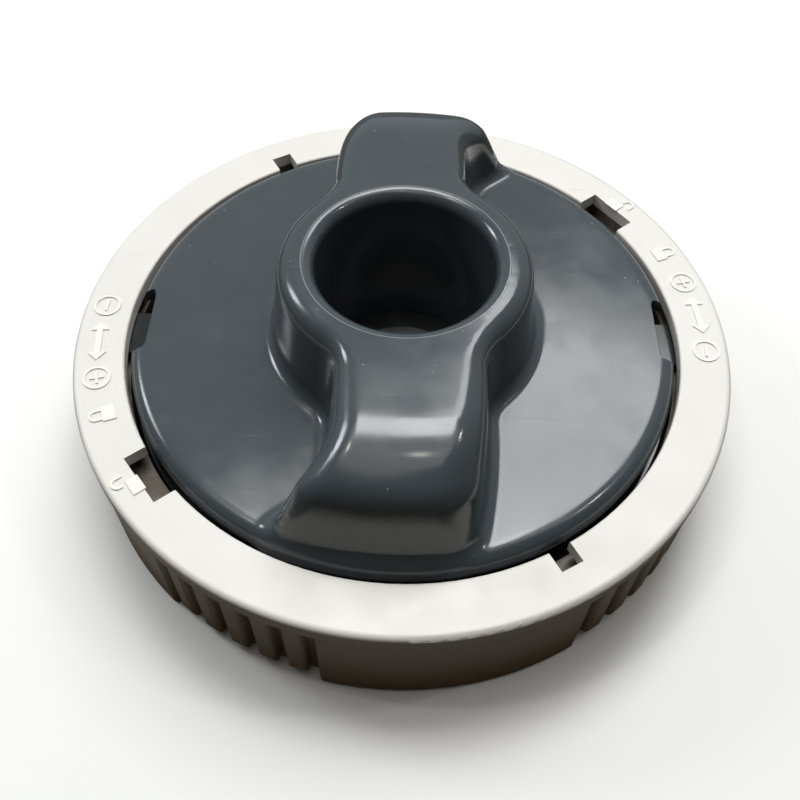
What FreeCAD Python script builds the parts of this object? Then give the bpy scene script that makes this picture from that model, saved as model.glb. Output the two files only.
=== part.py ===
import FreeCAD, Part
import math
import os
import re
import Sketcher

V = FreeCAD.Vector
UP = V(0, 0, 1)

# Driving dimensions: millimetres, and degrees for angles and turns.
# Heights are measured from the foot of the collar's skirt, which stands at zero.
DIMENSIONS = [
    # Collar: mouth, flange and the track that the dial's lugs turn in
    ("mouth_radius", 67.8),
    ("ring_height", 32.0),
    ("flange_thickness", 3.5),
    ("lip_height", 4.5),
    ("edge_round", 1.4),
    ("mouth_round", 0.6),
    ("track_depth", 5.6),
    ("track_height", 3.9),
    ("track_floor", 2.6),
    # Collar: neck, socket for the filter housing, and skirt
    ("neck_wall", 2.4),
    ("neck_foot", 5.5),
    ("socket_width", 3.8),
    ("skirt_wall", 2.5),
    ("rib_depth", 3.1),
    ("flange_overhang", 0.4),
    ("foot_round", 1.5),
    # Collar: grip ribs, in groups between smooth panels
    ("rib_groups", 5),
    ("rib_gaps", 6),
    ("rib_pitch", 5.3),
    ("rib_start", -129.4),
    ("gap_width", 2.7),
    ("rib_corner", 1.1),
    ("rib_foot", 3.2),
    ("rib_round", 2.2),
    ("panel_core_wall", 2.1),
    ("panel_core_roof", 6.5),
    ("panel_core_span", 34.0),
    # Entry notches and lug stops, with the turns from rest to the end marks
    ("notch_depth", 5.0),
    ("wide_notch_angle", 38.7),
    ("wide_notch_width", 13.8),
    ("narrow_notch_angle", 120.2),
    ("narrow_notch_width", 5.4),
    ("open_turn", 38.1),
    ("minus_turn", 4.4),
    ("stop_width", 6.0),
    ("stop_gap", 0.4),
    # Dial: disc and boss
    ("rim_clearance", 1.4),
    ("disc_rise", 2.0),
    ("disc_thickness", 3.0),
    ("rim_round", 3.6),
    ("rim_depth", 4.4),
    ("rim_width", 2.0),
    ("boss_height", 22.9),
    ("boss_width", 8.7),
    ("boss_flare", 2.1),
    ("boss_round", 4.0),
    ("boss_fillet", 2.4),
    ("cap_wall", 3.0),
    # Dial: bore tube, with a bell mouth and a snap flange under the boss's top
    ("bore_radius", 20.8),
    ("bore_round", 3.1),
    ("bore_wall", 2.5),
    ("bore_foot", 15.0),
    ("tube_flange_width", 2.2),
    ("tube_flange_thickness", 1.4),
    # Dial: drum, lugs and pointer notches
    ("drum_inset", 4.5),
    ("drum_wall", 2.5),
    ("drum_foot", 17.5),
    ("lug_clearance", 0.4),
    ("lug_thickness", 3.2),
    ("lug_side_clearance", 0.6),
    ("pointer_depth", 4.1),
    ("pointer_width", 18.8),
    # Handle: side walls of a wing at its foot, measured from the middle plane
    ("wing_root", 18.0),
    ("scoop_wall", 16.6),
    ("scoop_start", 41.0),
    ("scoop_radius", 15.0),
    ("scoop_turn", 50.0),
    ("scoop_lead", 18.0),
    ("palm_root", 20.0),
    ("palm_tip", 18.6),
    ("palm_bulge", 190.0),
    ("scoop_draft", 3.2),
    ("palm_draft", 3.1),
    # Handle: crown and nose, turned about an axis set back behind the boss
    ("nose_margin", 2.9),
    ("nose_length", 21.5),
    ("nose_centre", 22.0),
    ("shoulder_round", 30.0),
    ("nose_round", 8.0),
    ("wing_edge_round", 4.6),
    ("wing_wall", 3.0),
    # Running and seating clearances
    ("seat_gap", 0.3),
    ("sleeve_gap", 0.4),
    # Seals
    ("drum_seal_section", 2.6),
    ("tube_seal_section", 1.8),
    ("cup_seal_section", 1.7),
    ("seat_seal_section", 1.8),
    ("gasket_thickness", 1.8),
    ("socket_gasket_thickness", 2.3),
    # Tablet basket
    ("basket_wall", 2.2),
    ("basket_foot", 6.4),
    ("basket_floor", 2.2),
    ("tube_gap", 1.1),
    ("basket_tube_rise", 18.4),
    ("nub_width", 8.0),
    ("nub_height", 2.4),
    ("nub_level", 25.1),
    ("nub_reach", 2.1),
    ("snap_clearance", 0.3),
    # Flow windows of the basket and the sleeve, and the turn between them at rest
    ("window_width", 15.0),
    ("window_foot", 9.6),
    ("window_height", 5.4),
    ("window_angle", 30.0),
    ("window_lag", 12.0),
    ("slot_width", 4.0),
    ("slot_margin", 3.2),
    ("floor_slots", 24),
    # Metering sleeve, base grid and retaining ring
    ("grid_foot", 2.0),
    ("grid_thickness", 2.2),
    ("grid_ledge", 1.5),
    ("sleeve_wall", 2.3),
    ("cup_collar_foot", 9.0),
    ("cup_collar_height", 5.0),
    ("cup_collar_width", 2.9),
    ("cup_web", 2.2),
    ("retainer_thickness", 1.2),
    ("retainer_width", 2.5),
    ("retainer_bite", 1.1),
    ("retainer_opening", 10.0),
    # Outlet seat and its face seal
    ("outlet_inset", 8.8),
    ("seat_wall", 3.2),
    ("seat_flange_width", 10.4),
    ("seat_flange_thickness", 2.6),
    ("seat_shoulder_width", 5.6),
    ("seat_shoulder_height", 2.2),
]

doc = FreeCAD.newDocument("dispenser")
sheet = doc.addObject("Spreadsheet::Sheet", "dims")
for row, (alias, number) in enumerate(DIMENSIONS, start=1):
    sheet.set("A%d" % row, alias)
    sheet.set("B%d" % row, str(number))
    sheet.setAlias("B%d" % row, alias)
doc.recompute()

ALIASES = sorted((alias for alias, number in DIMENSIONS), key=len, reverse=True)
ALIAS_PATTERN = re.compile(r"\b(%s)\b" % "|".join(ALIASES))

# Levels and radii that several pieces share, written from the driving dimensions
TRACK_RADIUS = "(mouth_radius + track_depth)"
TRACK_ROOF = "(ring_height - flange_thickness)"
TRACK_LEVEL = "(ring_height - flange_thickness - track_height)"
SOCKET_ROOF = "(ring_height - flange_thickness - track_height - track_floor)"
NECK_RADIUS = "(mouth_radius + neck_wall)"
SOCKET_RADIUS = "(mouth_radius + neck_wall + socket_width)"
SKIRT_RADIUS = "(mouth_radius + neck_wall + socket_width + skirt_wall)"
GRIP_RADIUS = "(mouth_radius + neck_wall + socket_width + skirt_wall + rib_depth)"
FLANGE_RADIUS = "(mouth_radius + neck_wall + socket_width + skirt_wall + rib_depth + flange_overhang)"
NOTCH_REACH = "(mouth_radius + notch_depth)"
DISC_RADIUS = "(mouth_radius - rim_clearance)"
DISC_TOP = "(ring_height + disc_rise)"
DISC_UNDER = "(ring_height + disc_rise - disc_thickness)"
DRUM_RADIUS = "(mouth_radius - rim_clearance - drum_inset)"
DRUM_INNER = "(mouth_radius - rim_clearance - drum_inset - drum_wall)"
POINTER_ROOT = "(mouth_radius - rim_clearance - pointer_depth)"
LUG_TOP = "(ring_height - flange_thickness - lug_clearance)"
LUG_REACH = "(mouth_radius + notch_depth - lug_clearance)"
LUG_WIDTH = "(wide_notch_width - 2 * lug_side_clearance)"
POINTER_ANGLE = "(wide_notch_angle - open_turn)"
STOP_OFFSET = "((%s / 2 + stop_width / 2 + stop_gap) / mouth_radius * 180 / pi)" % LUG_WIDTH
BOSS_TOP = "(ring_height + disc_rise + boss_height)"
BOSS_RADIUS = "(bore_radius + boss_width)"
BOSS_FOOT = "(bore_radius + boss_width + boss_flare)"
LIP_RADIUS = "(bore_radius + bore_round)"
MOUTH_HOLE = "(bore_radius + bore_round + snap_clearance / 3)"
BORE_OUTER = "(bore_radius + bore_wall)"
DRUM_SEAL_OUTER = "(mouth_radius - seat_gap)"
DRUM_GROOVE = "(mouth_radius - 2 * seat_gap - drum_seal_section)"
CARRIER_RADIUS = "(mouth_radius - 3 * seat_gap)"
CARRIER_LAND = "(drum_seal_section / 2)"
CARRIER_TOP = "(drum_foot + 4 * %s)" % CARRIER_LAND
BASKET_OUTER = "(mouth_radius - rim_clearance - drum_inset - drum_wall - seat_gap)"
TUBE_INNER = "(bore_radius + bore_wall + tube_gap)"
BASKET_TOP = "(%s - gasket_thickness - 2 * seat_gap / 3)" % DISC_UNDER
BASKET_FLOOR_TOP = "(basket_foot + basket_floor)"
BASKET_TUBE_TOP = "(basket_foot + basket_floor + basket_tube_rise)"
TUBE_SEAL_LEVEL = "(basket_foot + basket_floor + basket_tube_rise - 3)"
TUBE_GROOVE = "(%s - tube_seal_section / 2)" % BORE_OUTER
SLOT_START = "(%s + basket_wall + slot_margin)" % TUBE_INNER
SLOT_END = "(%s - basket_wall - slot_margin)" % BASKET_OUTER
SLEEVE_INNER = "(%s + sleeve_gap)" % BASKET_OUTER
SLEEVE_OUTER = "(%s + sleeve_gap + sleeve_wall)" % BASKET_OUTER
CUP_COLLAR = "(mouth_radius - seat_gap)"
CUP_GROOVE = "(mouth_radius - seat_gap - cup_seal_section)"
CUP_SEAL_LEVEL = "(cup_collar_foot + cup_collar_height / 2)"
GRID_TOP = "(grid_foot + grid_thickness)"
OUTLET_RADIUS = "(bore_radius - outlet_inset)"
SEAT_TUBE = "(bore_radius - outlet_inset + seat_wall)"
SEAT_SHOULDER = "(bore_radius - outlet_inset + seat_shoulder_width)"
SEAT_FLANGE = "(bore_radius - outlet_inset + seat_flange_width)"
SEAT_FLANGE_TOP = "(grid_foot + grid_thickness + seat_flange_thickness)"
SEAT_SHOULDER_TOP = "(grid_foot + grid_thickness + seat_flange_thickness + seat_shoulder_height)"
SEAT_SEAL_RADIUS = "(bore_radius - outlet_inset + seat_shoulder_width + seat_seal_section)"
SEAT_TOP = "(bore_foot - seat_gap)"


def bound(text):
    """An expression on the sheet, from one written with the plain names."""
    return ALIAS_PATTERN.sub(r"dims.\1", str(text))


def value(text):
    """The number that an expression gives now."""
    result = sheet.evalExpression(bound(text))
    return float(getattr(result, "Value", result))


def bind(thing, prop, text):
    """Sets a property and ties it to the sheet."""
    thing.setExpression(prop, bound(text))


def constrain(sketch, kind, where, text):
    """Adds one sized constraint and ties it to the sheet."""
    index = sketch.addConstraint(Sketcher.Constraint(kind, *where, value(text)))
    if ALIAS_PATTERN.search(str(text)):
        sketch.setExpression("Constraints[%d]" % index, bound(text))


def pin_point(sketch, edge, end, x, y):
    """Holds one end of an edge at x, y."""
    for kind, axis, text in (("DistanceX", -2, x), ("DistanceY", -1, y)):
        if str(text) == "0":
            sketch.addConstraint(Sketcher.Constraint("PointOnObject", edge, end, axis))
        else:
            constrain(sketch, kind, (-1, 1, edge, end), text)


def draw(sketch, path):
    """Draws a closed outline. A step is x, y for a straight run to that point, or
    x, y, radius, side for an arc to it: side 1 has its centre on the left, -1 on the right."""
    points = [V(value(step[0]), value(step[1]), 0) for step in path]
    ends = []
    for index, step in enumerate(path):
        start = points[index - 1]
        stop = points[index]
        if len(step) == 2:
            ends.append((sketch.addGeometry(Part.LineSegment(start, stop), False), 1, 2))
            continue
        radius = value(step[2])
        side = step[3]
        chord = stop - start
        reach = math.sqrt(max(radius ** 2 - (chord.Length / 2) ** 2, 0))
        centre = (start + stop) * 0.5 + V(-chord.y, chord.x, 0).normalize() * (reach * side)
        first, last = (start, stop) if side > 0 else (stop, start)
        angles = [math.atan2(p.y - centre.y, p.x - centre.x) for p in (first, last)]
        edge = sketch.addGeometry(Part.ArcOfCircle(Part.Circle(centre, UP, radius), *angles), False)
        constrain(sketch, "Radius", (edge,), step[2])
        ends.append((edge, 1, 2) if side > 0 else (edge, 2, 1))
    for index, (edge, start, stop) in enumerate(ends):
        following, its_start, its_stop = ends[(index + 1) % len(ends)]
        sketch.addConstraint(Sketcher.Constraint("Coincident", edge, stop, following, its_start))
        pin_point(sketch, edge, stop, path[index][0], path[index][1])


def origin_feature(body, role):
    """A plane or axis of a body's own origin."""
    return next(item for item in body.Origin.OriginFeatures if item.Role == role)


def body_sketch(body, name, role, path, lift="0", turn="0"):
    """A sketch on one of a body's planes, raised by lift and turned about the vertical."""
    sketch = body.newObject("Sketcher::SketchObject", name)
    sketch.AttachmentSupport = (origin_feature(body, role), [""])
    sketch.MapMode = "FlatFace"
    axis = UP if role == "XY_Plane" else V(0, 1, 0)
    sketch.AttachmentOffset = FreeCAD.Placement(
        V(0, 0, value(lift)), FreeCAD.Rotation(axis, value(turn)))
    if ALIAS_PATTERN.search(lift):
        bind(sketch, "AttachmentOffset.Base.z", lift)
    if ALIAS_PATTERN.search(turn):
        bind(sketch, "AttachmentOffset.Rotation.Angle", turn)
    draw(sketch, path)
    return sketch


def section_sketch(name, path, turn=0.0):
    """A free sketch in the upright plane through the axis: x is radius, y is height."""
    sketch = doc.addObject("Sketcher::SketchObject", name)
    upright = FreeCAD.Rotation(V(1, 0, 0), 90)
    sketch.Placement = FreeCAD.Placement(V(0, 0, 0), FreeCAD.Rotation(UP, turn).multiply(upright))
    draw(sketch, path)
    return sketch


def revolve(name, path, angle=360.0, offset=None):
    """Turns a section about the vertical axis, or about one set back from it by offset."""
    turned = doc.addObject("Part::Revolution", name)
    turned.Source = section_sketch(name + "_section", path)
    turned.Axis = UP
    turned.Base = V(0, 0, 0)
    turned.Angle = angle
    turned.Solid = True
    if offset is not None:
        bind(turned, "Placement.Base.y", offset)
    return turned


def bar(name, start, stop, width, foot, top, turn):
    """A block that runs outwards from start to stop at an angle about the axis."""
    block = doc.addObject("Part::Box", name)
    bind(block, "Length", "(%s) - (%s)" % (stop, start))
    bind(block, "Width", width)
    bind(block, "Height", "(%s) - (%s)" % (top, foot))
    block.Placement = FreeCAD.Placement(V(0, 0, 0), FreeCAD.Rotation(UP, value(turn)))
    along = "cos((%s) * 1 deg)" % turn
    across = "sin((%s) * 1 deg)" % turn
    bind(block, "Placement.Base.x", "(%s) * %s + (%s) / 2 * %s" % (start, along, width, across))
    bind(block, "Placement.Base.y", "(%s) * %s - (%s) / 2 * %s" % (start, across, width, along))
    bind(block, "Placement.Base.z", foot)
    bind(block, "Placement.Rotation.Angle", turn)
    return block


def fuse(name, shapes):
    joined = doc.addObject("Part::MultiFuse", name)
    joined.Shapes = shapes
    joined.Refine = True
    return joined


def cut(name, base, tool):
    remainder = doc.addObject("Part::Cut", name)
    remainder.Base = base
    remainder.Tool = tool
    remainder.Refine = True
    return remainder


def common(name, base, tool):
    shared = doc.addObject("Part::Common", name)
    shared.Base = base
    shared.Tool = tool
    return shared


def around(body, name, originals, copies, angle="360"):
    """Repeats features of a body about its vertical axis."""
    pattern = body.newObject("PartDesign::PolarPattern", name)
    pattern.Originals = originals
    pattern.Axis = (origin_feature(body, "Z_Axis"), [""])
    bind(pattern, "Angle", angle)
    bind(pattern, "Occurrences", copies)
    body.Tip = pattern
    return pattern


def rectangle(x0, x1, width):
    return [(x0, "-(%s) / 2" % width), (x1, "-(%s) / 2" % width),
            (x1, "(%s) / 2" % width), (x0, "(%s) / 2" % width)]


def pocket(body, sketch, name, depth=None):
    feature = body.newObject("PartDesign::Pocket", name)
    feature.Profile = sketch
    if depth is None:
        feature.Type = "ThroughAll"
    else:
        bind(feature, "Length", depth)
    return feature


def groove(body, sketch, name, angle):
    feature = body.newObject("PartDesign::Groove", name)
    feature.Profile = sketch
    feature.ReferenceAxis = (sketch, ["V_Axis"])
    feature.Midplane = True
    bind(feature, "Angle", angle)
    return feature


def o_ring(name, radius, level, section):
    """A seal ring whose section is centred at radius and level."""
    ring = doc.addObject("Part::Torus", name)
    bind(ring, "Radius1", radius)
    bind(ring, "Radius2", "(%s) / 2" % section)
    bind(ring, "Placement.Base.z", level)
    return ring


# Collar: one ivory moulding, turned section first
def make_collar():
    body = doc.addObject("PartDesign::Body", "collar_ring")
    under_lip = "ring_height - lip_height"
    groove_top = "cup_collar_foot"
    groove_foot = "cup_collar_foot - retainer_thickness - 2 * seat_gap"
    groove_radius = "mouth_radius + retainer_bite + seat_gap"
    section = [
        ("mouth_radius + mouth_round", "ring_height", "mouth_round", -1),
        (FLANGE_RADIUS + " - edge_round", "ring_height"),
        (FLANGE_RADIUS, "ring_height - edge_round", "edge_round", -1),
        (FLANGE_RADIUS, under_lip),
        (GRIP_RADIUS, under_lip),
        (GRIP_RADIUS, "foot_round"),
        (GRIP_RADIUS + " - foot_round", "0", "foot_round", -1),
        (SOCKET_RADIUS, "0"),
        (SOCKET_RADIUS, SOCKET_ROOF),
        (NECK_RADIUS, SOCKET_ROOF),
        (NECK_RADIUS, "neck_foot"),
        ("mouth_radius", "neck_foot"),
        ("mouth_radius", groove_foot),
        (groove_radius, groove_foot),
        (groove_radius, groove_top),
        ("mouth_radius", groove_top),
        ("mouth_radius", TRACK_LEVEL),
        (TRACK_RADIUS, TRACK_LEVEL),
        (TRACK_RADIUS, TRACK_ROOF),
        ("mouth_radius", TRACK_ROOF),
        ("mouth_radius", "ring_height - mouth_round"),
    ]
    sketch = body_sketch(body, "collar_section", "XZ_Plane", section)
    turned = body.newObject("PartDesign::Revolution", "collar_turned")
    turned.Profile = sketch
    turned.ReferenceAxis = (sketch, ["V_Axis"])
    turned.Angle = 360

    # Entry notches, each pair half a turn apart
    inside = "mouth_radius - 4"
    depth = "flange_thickness + track_height / 4"
    for kind in ("wide", "narrow"):
        outline = rectangle(inside, NOTCH_REACH, "%s_notch_width" % kind)
        sketch = body_sketch(body, kind + "_notch_outline", "XY_Plane", outline,
                             "ring_height", kind + "_notch_angle")
        cutter = pocket(body, sketch, kind + "_notch", depth)
        around(body, kind + "_notches", [cutter], "2")

    # Stops in the track, at the minus mark and at the open padlock
    stops = [("open", "wide_notch_angle + %s" % STOP_OFFSET),
             ("minus", "%s - minus_turn - %s" % (POINTER_ANGLE, STOP_OFFSET))]
    for mark, angle in stops:
        outline = rectangle("mouth_radius + mouth_round", TRACK_RADIUS + " + mouth_round", "stop_width")
        sketch = body_sketch(body, mark + "_stop_outline", "XY_Plane", outline, TRACK_LEVEL, angle)
        block = body.newObject("PartDesign::Pad", mark + "_stop")
        block.Profile = sketch
        bind(block, "Length", "track_height")
        around(body, mark + "_stops", [block], "2")

    # Gaps between the grip ribs: six to a group, and the groups spread round the skirt
    outside = FLANGE_RADIUS + " + 2"
    straight = GRIP_RADIUS + " - rib_corner"
    mouth = "gap_width / 2 + rib_corner"
    gap = [(SKIRT_RADIUS, "-gap_width / 2"), (straight, "-gap_width / 2"),
           (GRIP_RADIUS, "-(%s)" % mouth, "rib_corner", -1), (outside, "-(%s)" % mouth),
           (outside, mouth), (GRIP_RADIUS, mouth),
           (straight, "gap_width / 2", "rib_corner", -1), (SKIRT_RADIUS, "gap_width / 2")]
    sketch = body_sketch(body, "rib_gap_outline", "XY_Plane", gap, under_lip, "rib_start")
    first_gap = pocket(body, sketch, "rib_gap")
    doc.recompute()
    spread = doc.addObject("PartDesign::MultiTransform", "rib_gap_groups")
    spread.Originals = [first_gap]
    body.addObject(spread)
    steps = []
    for name, copies, angle in (("gaps_in_group", "rib_gaps", "rib_pitch * (rib_gaps - 1)"),
                                ("groups_round_skirt", "rib_groups", "360")):
        step = doc.addObject("PartDesign::PolarPattern", name)
        step.Axis = (origin_feature(body, "Z_Axis"), [""])
        body.addObject(step)
        bind(step, "Angle", angle)
        bind(step, "Occurrences", copies)
        steps.append(step)
    spread.Transformations = steps
    body.Tip = spread

    # The ribs stop short of the skirt's foot and are rounded there
    middle = "rib_start + rib_pitch * (rib_gaps - 1) / 2"
    foot = [(SKIRT_RADIUS, "-foot_round"), (SKIRT_RADIUS, "rib_foot"),
            (GRIP_RADIUS + " - rib_round", "rib_foot"),
            (GRIP_RADIUS, "rib_foot + rib_round", "rib_round", 1),
            (outside, "rib_foot + rib_round"), (outside, "-foot_round")]
    sketch = body_sketch(body, "rib_foot_section", "XZ_Plane", foot, "0", middle)
    trim = groove(body, sketch, "rib_foot_trim", "rib_pitch * (rib_gaps - 1) + 2")
    around(body, "rib_feet", [trim], "rib_groups")

    # Each smooth panel is cored from below, so that the wall stays thin
    core_outer = GRIP_RADIUS + " - panel_core_wall"
    core_inner = SOCKET_RADIUS + " + panel_core_wall"
    core_top = "ring_height - lip_height - panel_core_roof"
    core = [(core_inner, "-foot_round"), (core_inner, core_top),
            (core_outer, core_top), (core_outer, "-foot_round")]
    panel = "rib_start + rib_pitch * (rib_gaps - 1) / 2 + 180 / rib_groups"
    sketch = body_sketch(body, "panel_core_section", "XZ_Plane", core, "0", panel)
    hollow = groove(body, sketch, "panel_core", "panel_core_span")
    around(body, "panel_cores", [hollow], "rib_groups")
    return body


# One wing of the handle, as a solid: side walls that lean inwards from its foot to its
# crown, one of them scooped for the fingers, under a nose that is turned about an axis
# set back behind the boss
def wing_solid(name, turn, inset):
    turned_by = "(scoop_turn * 1 deg)"
    scoop_x = "(-scoop_wall - scoop_radius)"
    sections = []
    for label, height, draft in (("foot", DISC_UNDER + " + disc_thickness / 4", "0"),
                                 ("crown", BOSS_TOP + " + wing_edge_round", "1")):
        outline = doc.addObject("Sketcher::SketchObject", "%s_%s" % (name, label))
        outline.Placement = FreeCAD.Placement(V(0, 0, value(height)), FreeCAD.Rotation(UP, turn))
        bind(outline, "Placement.Base.z", height)
        root = "-wing_root" if inset == "0" else "-(%s + %s / 4)" % (MOUTH_HOLE, inset)
        bend = "(scoop_radius + %s * scoop_draft + %s)" % (draft, inset)
        palm = "(%s * palm_draft + %s)" % (draft, inset)
        exit_x = "%s + %s * cos(%s)" % (scoop_x, bend, turned_by)
        exit_y = "-scoop_start - %s * sin(%s)" % (bend, turned_by)
        tip_y = "%s - scoop_lead * cos(%s)" % (exit_y, turned_by)
        path = [
            ("%s + %s" % (scoop_x, bend), root),
            ("%s + %s" % (scoop_x, bend), "-scoop_start"),
            (exit_x, exit_y, bend, -1),
            ("%s - scoop_lead * sin(%s)" % (exit_x, turned_by), tip_y),
            ("palm_tip - %s" % palm, tip_y),
            ("palm_root - %s" % palm, root, "palm_bulge", 1),
        ]
        draw(outline, path)
        sections.append(outline)
    walls = doc.addObject("Part::Loft", name + "_walls")
    walls.Sections = sections
    walls.Solid = True
    walls.Ruled = True

    # Nose section about the set-back axis: flat top, broad shoulder, then a steep face
    tilt = "(30 * 1 deg)"
    steep = "(80 * 1 deg)"
    top = BOSS_TOP + " - " + inset
    nose = "nose_centre + %s - nose_margin - %s" % (DISC_RADIUS, inset)
    bend_x = "%s - nose_length + shoulder_round * sin(%s)" % (nose, tilt)
    bend_z = "%s - shoulder_round * (1 - cos(%s))" % (top, tilt)
    face_x = "%s + nose_round * (sin(%s) - sin(%s))" % (bend_x, steep, tilt)
    face_z = "%s - nose_round * (cos(%s) - cos(%s))" % (bend_z, tilt, steep)
    foot = DISC_UNDER if inset != "0" else DISC_UNDER + " + disc_thickness / 8"
    path = [
        ("0", foot),
        ("0", top),
        ("%s - nose_length" % nose, top),
        (bend_x, bend_z, "shoulder_round", -1),
        (face_x, face_z, "nose_round", -1),
        (nose, foot),
    ]
    turned = revolve(name + "_nose", path)
    bind(turned, "Placement.Base.y", "nose_centre * %d" % (1 if turn == 0 else -1))
    return common(name, walls, turned)


def top_edges(shape, lowest):
    """Numbers of the edges between a wing's crown or nose and its side walls."""
    chosen = []
    for number, edge in enumerate(shape.Edges, start=1):
        middle = edge.valueAt((edge.FirstParameter + edge.LastParameter) / 2)
        near_root = abs(middle.y) < value("wing_root") + 1
        straight = type(edge.Curve).__name__ == "Line" and edge.BoundBox.ZMin < lowest - 4
        upright = edge.BoundBox.ZLength > 4 and straight
        across = edge.BoundBox.ZLength < 0.01
        at_walls = not across and not upright
        flat_top = across and edge.BoundBox.ZMin > value(BOSS_TOP) - 0.01
        side_run = flat_top and edge.BoundBox.YLength > edge.BoundBox.XLength
        if edge.BoundBox.ZMax > lowest and not near_root and (at_walls or side_run):
            chosen.append(number)
    return chosen


# Dial cap: one grey moulding with a hollow two-winged handle round a plain boss
def make_cap():
    rim_foot = DISC_TOP + " - rim_depth"
    section = [
        (MOUTH_HOLE, BOSS_TOP + " - cap_wall"),
        (MOUTH_HOLE, BOSS_TOP),
        (BOSS_RADIUS + " - boss_round", BOSS_TOP),
        (BOSS_RADIUS, "%s - boss_round" % BOSS_TOP, "boss_round", -1),
        (BOSS_FOOT, DISC_TOP + " + boss_fillet"),
        (BOSS_FOOT + " + boss_fillet", DISC_TOP, "boss_fillet", 1),
        (DISC_RADIUS + " - rim_round", DISC_TOP),
        (DISC_RADIUS, DISC_TOP + " - rim_round", "rim_round", -1),
        (DISC_RADIUS, rim_foot),
        (DISC_RADIUS + " - rim_width", rim_foot),
        (DISC_RADIUS + " - rim_width", DISC_UNDER),
        (BOSS_FOOT + " - cap_wall", DISC_UNDER),
        (BOSS_RADIUS + " - cap_wall", BOSS_TOP + " - cap_wall"),
    ]
    turned = revolve("cap_turned", section)

    # Room inside the boss for the bore tube and its flange, cut out of the wings' roots
    room_edge = BOSS_TOP + " - cap_wall"
    boss_room = revolve("boss_room", [
        ("0", "0"),
        ("0", BOSS_TOP + " + wing_edge_round"),
        (MOUTH_HOLE, BOSS_TOP + " + wing_edge_round"),
        (MOUTH_HOLE, room_edge),
        (BOSS_RADIUS + " - cap_wall + seat_gap / 3", room_edge),
        (BOSS_FOOT + " - cap_wall + seat_gap / 3", DISC_UNDER),
        (BOSS_FOOT + " - cap_wall + seat_gap / 3", "0"),
    ])

    wings = []
    cores = []
    for side, turn in (("front", 0), ("back", 180)):
        blank = wing_solid(side + "_wing", turn, "0")
        doc.recompute()
        rounded = doc.addObject("Part::Fillet", side + "_wing_rounded")
        rounded.Base = blank
        edge_round = value("wing_edge_round")
        numbers = top_edges(blank.Shape, value(DISC_TOP) + edge_round)
        rounded.Edges = [(number, edge_round, edge_round) for number in numbers]
        wings.append(cut(side + "_wing_trimmed", rounded, boss_room))
        cores.append(wing_solid(side + "_wing_core", turn, "wing_wall"))

    # Cutters: hollows of the wings, and the pointer notches above the wide lugs
    cutters = list(cores)
    for half_turn in (0, 180):
        cutters.append(bar("pointer_notch_%d" % half_turn, POINTER_ROOT, DISC_RADIUS + " + 4",
                           "pointer_width", "%s + lug_clearance" % LUG_TOP, DISC_TOP + " + 2",
                           "%s + %d" % (POINTER_ANGLE, half_turn)))
    outside = fuse("cap_outside", [turned] + wings)
    return cut("dial_cap", outside, fuse("cap_cutters", cutters))


# Bore tube: its bell mouth fills the hole in the boss, and a snap flange holds it there
def make_tube():
    half = "(tube_seal_section / 2 + snap_clearance / 3)"
    flange_top = BOSS_TOP + " - cap_wall"
    flange_foot = flange_top + " - tube_flange_thickness"
    section = [
        ("bore_radius", "bore_foot"),
        ("bore_radius", "%s - bore_round" % BOSS_TOP),
        (LIP_RADIUS, BOSS_TOP, "bore_round", -1),
        (LIP_RADIUS, flange_top),
        (BORE_OUTER + " + tube_flange_width", flange_top),
        (BORE_OUTER + " + tube_flange_width", flange_foot),
        (BORE_OUTER, flange_foot),
        (BORE_OUTER, "%s + %s" % (TUBE_SEAL_LEVEL, half)),
        (TUBE_GROOVE, "%s + %s" % (TUBE_SEAL_LEVEL, half)),
        (TUBE_GROOVE, "%s - %s" % (TUBE_SEAL_LEVEL, half)),
        (BORE_OUTER, "%s - %s" % (TUBE_SEAL_LEVEL, half)),
        (BORE_OUTER, "bore_foot"),
    ]
    return revolve("bore_tube", section)


# Drum: hangs from the disc, with the bayonet lugs and the groove of the main seal
def make_drum():
    section = [
        (DRUM_INNER, "drum_foot"),
        (DRUM_INNER, DISC_UNDER),
        (DRUM_RADIUS, DISC_UNDER),
        (DRUM_RADIUS, CARRIER_TOP),
        (CARRIER_RADIUS, CARRIER_TOP),
        (CARRIER_RADIUS, "drum_foot + 3 * %s" % CARRIER_LAND),
        (DRUM_GROOVE, "drum_foot + 3 * %s" % CARRIER_LAND),
        (DRUM_GROOVE, "drum_foot + %s" % CARRIER_LAND),
        (CARRIER_RADIUS, "drum_foot + %s" % CARRIER_LAND),
        (CARRIER_RADIUS, "drum_foot"),
    ]
    turned = revolve("drum_turned", section)
    blocks = []
    for kind, centre in (("wide", POINTER_ANGLE), ("narrow", "narrow_notch_angle - open_turn")):
        width = "%s_notch_width - 2 * lug_side_clearance" % kind
        for half_turn in (0, 180):
            name = "%s_lug_%d" % (kind, half_turn)
            blocks.append(bar(name, DRUM_RADIUS + " - drum_wall / 2", NOTCH_REACH + " + 2", width,
                              "%s - lug_thickness" % LUG_TOP, LUG_TOP,
                              "%s + %d" % (centre, half_turn)))
    reach = doc.addObject("Part::Cylinder", "lug_reach")
    bind(reach, "Radius", LUG_REACH)
    bind(reach, "Height", "ring_height")
    lugs = common("lugs", fuse("lug_blocks", blocks), reach)
    snaps = [bar("snap_window_%d" % quarter, DRUM_INNER + " - 1", DRUM_RADIUS + " + 1",
                 "nub_width + 2 * snap_clearance", "nub_level - snap_clearance",
                 "nub_level + nub_height + snap_clearance", "45 + %d" % (90 * quarter))
             for quarter in range(4)]
    return cut("dial_drum", fuse("drum_with_lugs", [turned, lugs]), fuse("snap_windows", snaps))


def floor_slots(prefix, foot, top, lag):
    """Radial slots through a floor."""
    count = int(value("floor_slots"))
    return [bar("%s_slot_%d" % (prefix, step), SLOT_START, SLOT_END, "slot_width", foot, top,
                "%s + %d * 360 / floor_slots" % (lag, step)) for step in range(count)]


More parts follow.
